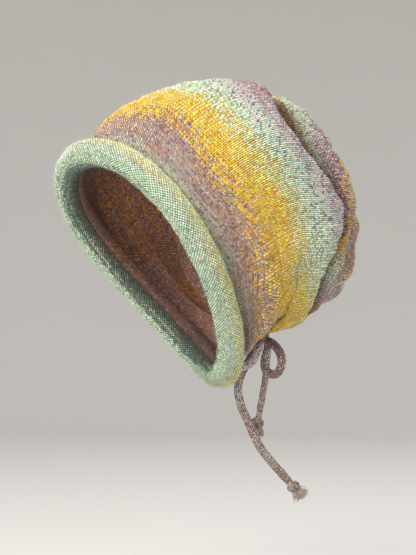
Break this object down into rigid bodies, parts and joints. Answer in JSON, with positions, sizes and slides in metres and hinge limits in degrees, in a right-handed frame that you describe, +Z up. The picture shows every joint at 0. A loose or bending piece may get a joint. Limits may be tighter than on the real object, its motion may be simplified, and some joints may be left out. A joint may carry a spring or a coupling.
{
  "type": "slouchy knit beanie with a drawstring",
  "caption": "Slouchy tie-dye knit beanie, folded back on itself, with a rolled brim and a knitted drawstring tied in a bow at the nape.",
  "frame": {"origin": "the middle of the brim's opening, where a head holds the hat", "axes": "+X towards the wearer's left, +Y behind the wearer, +Z up; the brim's plane is tipped by 56 degrees, so that its nape is low and behind"},
  "size_m": [0.2368, 0.256, 0.3539],
  "materials": {
    "knit_crown": "soft marled stockinette in space-dyed bands of mauve, gold and mint, with a mohair halo",
    "knit_brim": "mint marl, curled so that its bumpy reverse side shows",
    "cord": "narrow knitted cord in mauve, grey and tan marl",
    "tuft": "frayed pale yarn ends"
  },
  "bodies": {
    "root": {"crown": "knit_crown", "rolled_brim": "knit_brim", "drawstring": "cord", "bow_knot": "cord", "bow_loop_left": "cord", "bow_loop_right": "cord", "long_tail": "cord", "short_tail": "cord", "long_tail_knot": "cord", "short_tail_knot": "cord", "long_tail_tuft": "tuft", "short_tail_tuft": "tuft"}
  },
  "joints": []
}
